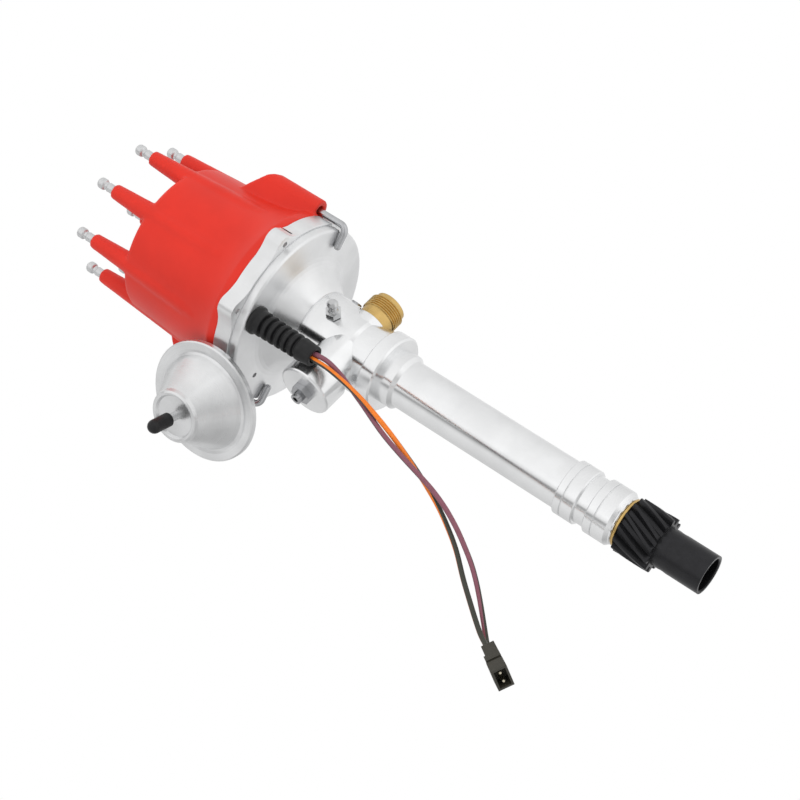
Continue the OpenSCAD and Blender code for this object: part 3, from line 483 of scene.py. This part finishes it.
def smooth_route(points, steps):
    """The same smooth curve through the route as in the CAD model, in metres."""
    last = len(points) - 1
    route = []
    for i in range(last):
        a, b, c, d = (Vector(points[min(max(k, 0), last)]) for k in (i - 1, i, i + 1, i + 2))
        for k in range(steps):
            s = k / steps
            route.append(
                0.5 * (
                    2 * b + (c - a) * s + (2 * a - 5 * b + 4 * c - d) * s * s
                    + (3 * b - a - 3 * c + d) * s * s * s
                ) * MM
            )
    route.append(Vector(points[-1]) * MM)
    return route


def new_object(name, mesh, material, body):
    """A piece of the scene's own, on the body that carries it."""
    piece = bpy.data.objects.new(name, mesh)
    bpy.context.scene.collection.objects.link(piece)
    mesh.materials.append(material)
    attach(piece, body)
    return piece


def turn_at(turns, height):
    """The turn at a height, between the listed ones."""
    for (high, first), (low, last) in zip(turns, turns[1:]):
        if height >= low:
            share = min(1.0, max(0.0, (high - height) / (high - low)))
            return math.radians(first + (last - first) * share)
    return math.radians(turns[-1][1])


def tube(name, route, radius, turns, sides=20):
    """A round tube along a route, with an attribute that peaks on its dark side."""
    mesh = bpy.data.meshes.new(name)
    bm = bmesh.new()
    dark_half = bm.verts.layers.float.new("dark_half")
    rings = []
    side = Vector((0.0, 1.0, 0.0))
    for i, point in enumerate(route):
        ahead = (route[min(i + 1, len(route) - 1)] - route[max(i - 1, 0)]).normalized()
        side = (side - ahead * side.dot(ahead)).normalized()
        across = ahead.cross(side)
        near = (Vector(CAMERA_AT) - point).normalized()
        near = (near - ahead * near.dot(ahead)).normalized()
        right = near.cross(ahead)
        if right.dot(Vector(CAMERA_RIGHT)) <= 0:
            right = -right
        turn = turn_at(turns, point.z / MM)
        # The dark half's side is set from the direction to the camera at CAMERA_AT: a turn of 0
        # faces it, 90 faces the right of the picture
        dark = near * math.cos(turn) + right * math.sin(turn)
        ring = []
        for k in range(sides):
            angle = 2 * math.pi * k / sides
            way = side * math.cos(angle) + across * math.sin(angle)
            vertex = bm.verts.new(point + radius * way)
            vertex[dark_half] = way.dot(dark)
            ring.append(vertex)
        rings.append(ring)
    for a, b in zip(rings, rings[1:]):
        for k in range(sides):
            m = (k + 1) % sides
            bm.faces.new((a[k], a[m], b[m], b[k])).smooth = True
    bm.faces.new(list(reversed(rings[0])))
    bm.faces.new(rings[-1])
    bmesh.ops.recalc_face_normals(bm, faces=bm.faces)
    bm.to_mesh(mesh)
    bm.free()
    return mesh


def turned_mesh(name, profile, axis, segments=96):
    """A turned mesh from a closed profile of (radius, height) pairs in millimetres."""
    mesh = bpy.data.meshes.new(name)
    bm = bmesh.new()
    turn = Matrix.Translation(Vector(axis[0])) @ Euler(axis[1]).to_matrix().to_4x4()
    rings = []
    for radius, height in profile:
        ring = []
        for k in range(segments):
            angle = 2 * math.pi * k / segments
            local = Vector((radius * math.cos(angle), radius * math.sin(angle), height)) * MM
            ring.append(bm.verts.new(turn @ local))
        rings.append(ring)
    for a, b in zip(rings, rings[1:] + rings[:1]):
        for k in range(segments):
            m = (k + 1) % segments
            bm.faces.new((a[k], a[m], b[m], b[k])).smooth = True
    bmesh.ops.recalc_face_normals(bm, faces=bm.faces)
    bm.to_mesh(mesh)
    bm.free()
    return mesh


def rounded(profile, radius, steps=4):
    """Rounds each corner of a closed profile by up to the given radius."""
    result = []
    count = len(profile)
    for i in range(count):
        before, corner, after = (Vector(profile[(i + k) % count]) for k in (-1, 0, 1))
        to_before, to_after = before - corner, after - corner
        reach = min(radius, 0.45 * to_before.length, 0.45 * to_after.length)
        start = corner + to_before.normalized() * reach
        end = corner + to_after.normalized() * reach
        for k in range(steps + 1):
            s = k / steps
            result.append(tuple((1 - s) ** 2 * start + 2 * s * (1 - s) * corner + s * s * end))
    return result


class DISTRIBUTOR_OT_studio(bpy.types.Operator):
    """Add the camera of the photograph, the floor, the lamps and the white room"""

    bl_idname = "distributor.studio"
    bl_label = "Studio"

    def execute(self, context):
        values = context.scene.distributor_studio
        scene = context.scene
        scene.view_settings.view_transform = "Standard"
        self.add_camera(scene)
        self.add_floor(scene, values)
        self.add_lamps(scene, values)
        self.add_room(scene, values)
        return {"FINISHED"}

    def add_camera(self, scene):
        data = bpy.data.cameras.new("camera")
        data.sensor_fit = "HORIZONTAL"
        data.sensor_width = SENSOR_WIDTH
        data.lens = CAMERA_LENS
        data.clip_start = 0.05
        data.clip_end = 50.0
        camera = bpy.data.objects.new("camera", data)
        scene.collection.objects.link(camera)
        axes = (CAMERA_RIGHT, CAMERA_UP, CAMERA_BACK, CAMERA_AT)
        camera.matrix_world = Matrix(
            [[axis[row] for axis in axes] for row in range(3)] + [[0, 0, 0, 1]]
        )
        scene.camera = camera

    def add_floor(self, scene, values):
        mesh = bpy.data.meshes.new("floor")
        bm = bmesh.new()
        bmesh.ops.create_grid(bm, x_segments=8, y_segments=8, size=FLOOR_REACH)
        bm.to_mesh(mesh)
        bm.free()
        floor = bpy.data.objects.new("floor", mesh)
        floor.location.z = CAD_BOX[0][2] - FLOOR_GAP
        scene.collection.objects.link(floor)
        n = Nodes("floor_paper")
        grain = n.noise(n.place(), 40.0, 4.0)
        n.set(
            Base_Color=n.mix(grain, shade(values.floor, 0.985), shade(values.floor, 1.0)),
            Roughness=0.9,
        )
        path = n.add("ShaderNodeLightPath")
        back = n.add("ShaderNodeNewGeometry").outputs["Backfacing"]
        level = levels_by_bearing(n.add, n.place(), FLOOR_LEVELS)
        glow = n.add("ShaderNodeEmission", {"Color": level, "Strength": LEVEL_SPAN})
        clear = n.add("ShaderNodeBsdfTransparent")
        shine = n.add(
            "ShaderNodeMixShader",
            {0: path.outputs["Is Glossy Ray"], 1: n.shader.outputs[0], 2: glow.outputs[0]},
        )
        away = n.add("ShaderNodeVectorMath", {0: n.place()}, operation="LENGTH").outputs["Value"]
        far = n.math(
            "MULTIPLY", n.between(away, FADE_FROM, FADE_TO), path.outputs["Is Camera Ray"]
        )
        white = n.add("ShaderNodeEmission", {"Color": (1, 1, 1, 1), "Strength": 1.0})
        faded = n.add("ShaderNodeMixShader", {0: far, 1: shine.outputs[0], 2: white.outputs[0]})
        through = n.math("MAXIMUM", back, path.outputs["Is Shadow Ray"])
        top = n.add(
            "ShaderNodeMixShader", {0: through, 1: faded.outputs[0], 2: clear.outputs[0]}
        )
        n.link(top.outputs[0], n.output.inputs["Surface"])
        mesh.materials.append(n.material)

    def add_lamps(self, scene, values):
        target = Vector((-0.02, -0.01, 0.02))
        back, up, right = Vector(CAMERA_BACK), Vector(CAMERA_UP), Vector(CAMERA_RIGHT)
        lamps = (
            ("key_lamp", back * 1.1 + up * 1.1 + right * 0.3, 1.3, values.key),
            ("fill_lamp", back * 1.2 - up * 0.4 - right * 1.0, 1.5, values.key * 0.65),
            ("top_lamp", Vector((0.3, 0.2, 1.7)), 1.4, values.key * 0.7),
        )
        for name, offset, size, power in lamps:
            data = bpy.data.lights.new(name, "AREA")
            data.shape = "DISK"
            data.size = size
            data.energy = power
            lamp = bpy.data.objects.new(name, data)
            lamp.location = target + offset
            lamp.rotation_euler = offset.to_track_quat("Z", "Y").to_euler()
            lamp.visible_camera = False
            lamp.visible_glossy = False
            scene.collection.objects.link(lamp)

    def add_room(self, scene, values):
        """White for the camera, softer for the light, and uneven for bright metal."""
        world = bpy.data.worlds.new("room")
        scene.world = world
        world.use_nodes = True
        tree = world.node_tree
        tree.nodes.clear()

        def add(kind, inputs=None, **settings):
            return add_node(tree, kind, inputs, **settings)

        way = add("ShaderNodeTexCoord").outputs["Generated"]
        level = levels_by_bearing(add, way, ROOM_LEVELS)
        path = add("ShaderNodeLightPath").outputs
        white = add("ShaderNodeBackground", {"Color": (1, 1, 1, 1), "Strength": 1.0})
        soft = add("ShaderNodeBackground", {"Color": (1, 1, 1, 1), "Strength": values.ambient})
        mirror = add("ShaderNodeBackground", {"Color": level, "Strength": LEVEL_SPAN})
        lit = add(
            "ShaderNodeMixShader",
            {0: path["Is Glossy Ray"], 1: soft.outputs[0], 2: mirror.outputs[0]},
        )
        seen = add(
            "ShaderNodeMath",
            {0: path["Is Camera Ray"], 1: path["Is Transmission Ray"]},
            operation="MAXIMUM",
        )
        room = add(
            "ShaderNodeMixShader", {0: seen.outputs[0], 1: lit.outputs[0], 2: white.outputs[0]}
        )
        out = add("ShaderNodeOutputWorld")
        tree.links.new(room.outputs[0], out.inputs["Surface"])


class DISTRIBUTOR_OT_leads(bpy.types.Operator):
    """Add the two leads from the boot to the connector"""

    bl_idname = "distributor.leads"
    bl_label = "Leads"

    def execute(self, context):
        values = context.scene.distributor_leads
        leads = (
            ("orange", ORANGE_ROUTE, ORANGE_TURN, values.orange, "connector_body"),
            ("violet", VIOLET_ROUTE, VIOLET_TURN, values.violet, "connector_pins"),
        )
        for colour_name, points, turns, colour, carried in leads:
            route = smooth_route(points, ROUTE_STEPS)
            piece = new_object(
                f"{colour_name}_lead",
                tube(f"{colour_name}_lead", route, values.diameter / 2, turns),
                insulation(f"{colour_name}_insulation", tuple(colour), tuple(values.dark_half)),
                "body",
            )
            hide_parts(f"lead_{colour_name}")
        return {"FINISHED"}


class DISTRIBUTOR_OT_boot(bpy.types.Operator):
    """Add the ribbed rubber boot where the leads leave the bowl"""

    bl_idname = "distributor.boot"
    bl_label = "Lead boot"

    def execute(self, context):
        top = BOOT_TOP
        outside = [(8.3, top), (8.4, top - 2.2), (7.1, top - 3.4), (7.3, FIRST_RIB)]
        for i in range(RIBS):
            z = FIRST_RIB - RIB_PITCH * i
            less = RIB_TAPER * i
            outside += [
                (7.2 - less, z - 0.3), (4.7, z - 0.6), (4.7, z - 2.2), (7.1 - less, z - 2.6),
                (7.15 - less, z - 4.2),
            ]
        outside += [(6.5, 33.4), (5.9, BOOT_END)]
        inside = [(3.9, BOOT_END), (3.9, 60.0), (4.0, top)]
        profile = rounded(outside + inside, radius=0.5)
        material = black_rubber(
            "boot_rubber", tuple(context.scene.distributor_finishes.rubber)
        )
        mesh = turned_mesh("lead_boot", profile, BOOT_AXIS)
        piece = new_object("lead_boot", mesh, material, "body")
        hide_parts("strain_relief_boot")
        return {"FINISHED"}


class DISTRIBUTOR_OT_metals(bpy.types.Operator):
    """Finish the housing, the fittings and the inner metal pieces"""

    bl_idname = "distributor.metals"
    bl_label = "Metal finishes"

    def execute(self, context):
        values = context.scene.distributor_finishes
        alloy, brass, plated = tuple(values.alloy), tuple(values.brass), tuple(values.plated)
        steel = (0.56, 0.565, 0.58)
        finish(polished_alloy("housing_alloy", alloy), "housing")
        finish(polished_alloy("end_cap_alloy", alloy, CROSS_AXIS), "tach_end_cap")
        finish(turned_metal("fitting_brass", brass, CROSS_AXIS), "tach_fitting")
        finish(turned_metal("contact_brass", brass), "rotor_contact", "thrust_washer")
        finish(turned_metal("pin_tin", (0.72, 0.66, 0.52), roughness=0.3), "connector_pins")
        finish(
            turned_metal("bushing_bronze", (0.45, 0.28, 0.12), roughness=0.4),
            "lower_bushing", "tach_bushing",
        )
        finish(
            polished_alloy("can_plate", plated, CAN_AXIS, smooth=0.26, dull=0.36, clouded=0.9),
            "vacuum_can_front", "vacuum_can_back",
        )
        finish(
            plated_sheet("bracket_plate", shade(plated, 0.85)),
            "vacuum_bracket", "pickup_plate", "weight_carrier", "advance_weight_a",
            "advance_weight_b",
        )
        finish(
            turned_metal("grease_fitting_plate", shade(plated, 0.8), grain=2400.0, roughness=0.2),
            "grease_fitting",
        )
        finish(
            turned_metal(
                "terminal_alloy", (0.70, 0.705, 0.71), roughness=0.42, strength=0.05, stained=0.93
            ),
            "tower_terminals", "coil_terminal",
        )
        finish(
            turned_metal("ground_steel", steel, roughness=0.22),
            "main_shaft", "bearing_outer_race", "bearing_inner_race", "bearing_balls",
            "bearing_retainer", "plate_retainer", "advance_cam", "weight_pins", "rotor_screws",
            "bracket_screws", "pickup_pole", "reluctor", "vacuum_link", "gear_roll_pin",
        )
        finish(
            turned_metal("cross_shaft_steel", shade(steel, 0.8), CROSS_AXIS, roughness=0.2),
            "tach_gear", "thrust_screw", "jam_nut",
        )
        finish(turned_metal("plug_steel", shade(steel, 0.9), roughness=0.3), "socket_plugs")
        finish(
            turned_metal("latch_steel", shade(steel, 0.95), roughness=0.2, grain=5200.0),
            "latch_rod_a", "latch_rod_b", "latch_washer_a", "latch_washer_b",
        )
        finish(
            turned_metal("spring_steel", shade(steel, 0.7), roughness=0.3),
            "latch_springs", "button_spring", "vacuum_spring", "advance_springs",
        )
        finish(black_oxide("gear_black", (0.022, 0.022, 0.024)), "drive_gear")
        return {"FINISHED"}


class DISTRIBUTOR_OT_mouldings(bpy.types.Operator):
    """Finish the cap, the rubber and the moulded pieces"""

    bl_idname = "distributor.mouldings"
    bl_label = "Moulding finishes"

    def execute(self, context):
        values = context.scene.distributor_finishes
        red = moulded("cap_red", tuple(values.cap), roughness=0.42, specular=0.28)
        finish(red, "distributor_cap")
        self.smooth_cap(context, red)
        finish(moulded("rotor_black", (0.022, 0.022, 0.024), roughness=0.42), "rotor")
        finish(moulded("coil_black", (0.03, 0.028, 0.026), roughness=0.5), "pickup_coil")
        finish(moulded("carbon_black", (0.012, 0.012, 0.013), roughness=0.6), "carbon_button")
        finish(
            moulded("connector_plastic", (0.036, 0.033, 0.024), roughness=0.5),
            "connector_body",
        )
        finish(
            black_rubber("can_rubber", tuple(values.rubber)), "nipple_cap", "vacuum_diaphragm"
        )
        return {"FINISHED"}

    def smooth_cap(self, context, material):
        """The moulded cap with the soft edges and fillets that the mould gives it."""
        rough = bpy.data.objects.new("rough_cap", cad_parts["distributor_cap"].data.copy())
        context.scene.collection.objects.link(rough)
        remesh = rough.modifiers.new("even", "REMESH")
        remesh.mode = "VOXEL"
        remesh.voxel_size = CAP_VOXEL
        remesh.use_smooth_shade = True
        soften = rough.modifiers.new("soften", "SMOOTH")
        soften.factor = 0.5
        soften.iterations = CAP_SMOOTHINGS
        shape = rough.evaluated_get(context.evaluated_depsgraph_get())
        mesh = bpy.data.meshes.new_from_object(shape)
        mesh.name = "moulded_cap"
        mesh.materials.clear()
        mesh.polygons.foreach_set("use_smooth", [True] * len(mesh.polygons))
        bpy.data.meshes.remove(rough.data)
        piece = new_object("moulded_cap", mesh, material, "cap")
        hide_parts("distributor_cap")


class DISTRIBUTOR_PT_panel(bpy.types.Panel):
    bl_label = "Ignition distributor"
    bl_idname = "DISTRIBUTOR_PT_panel"
    bl_space_type = "VIEW_3D"
    bl_region_type = "UI"
    bl_category = "Distributor"

    def draw(self, context):
        column = self.layout.column()
        for group in ("distributor_finishes", "distributor_leads", "distributor_studio"):
            values = getattr(context.scene, group)
            for key in values.bl_rna.properties.keys():
                if key not in {"rna_type", "name"}:
                    column.prop(values, key)
        for operator in OPERATORS:
            column.operator(operator.bl_idname)


GROUPS = {
    "distributor_finishes": DISTRIBUTOR_PG_finishes,
    "distributor_leads": DISTRIBUTOR_PG_leads,
    "distributor_studio": DISTRIBUTOR_PG_studio,
}

OPERATORS = (
    DISTRIBUTOR_OT_studio,
    DISTRIBUTOR_OT_leads,
    DISTRIBUTOR_OT_boot,
    DISTRIBUTOR_OT_metals,
    DISTRIBUTOR_OT_mouldings,
)


def register():
    for group in GROUPS.values():
        bpy.utils.register_class(group)
    for name, group in GROUPS.items():
        setattr(bpy.types.Scene, name, PointerProperty(type=group))
    for operator in OPERATORS:
        bpy.utils.register_class(operator)
    bpy.utils.register_class(DISTRIBUTOR_PT_panel)


def unregister():
    bpy.utils.unregister_class(DISTRIBUTOR_PT_panel)
    for operator in reversed(OPERATORS):
        bpy.utils.unregister_class(operator)
    for name, group in GROUPS.items():
        delattr(bpy.types.Scene, name)
        bpy.utils.unregister_class(group)


def main():
    register()
    bpy.ops.distributor.studio()
    bpy.ops.distributor.leads()
    bpy.ops.distributor.boot()
    bpy.ops.distributor.metals()
    bpy.ops.distributor.mouldings()


if __name__ == "__main__":
    main()
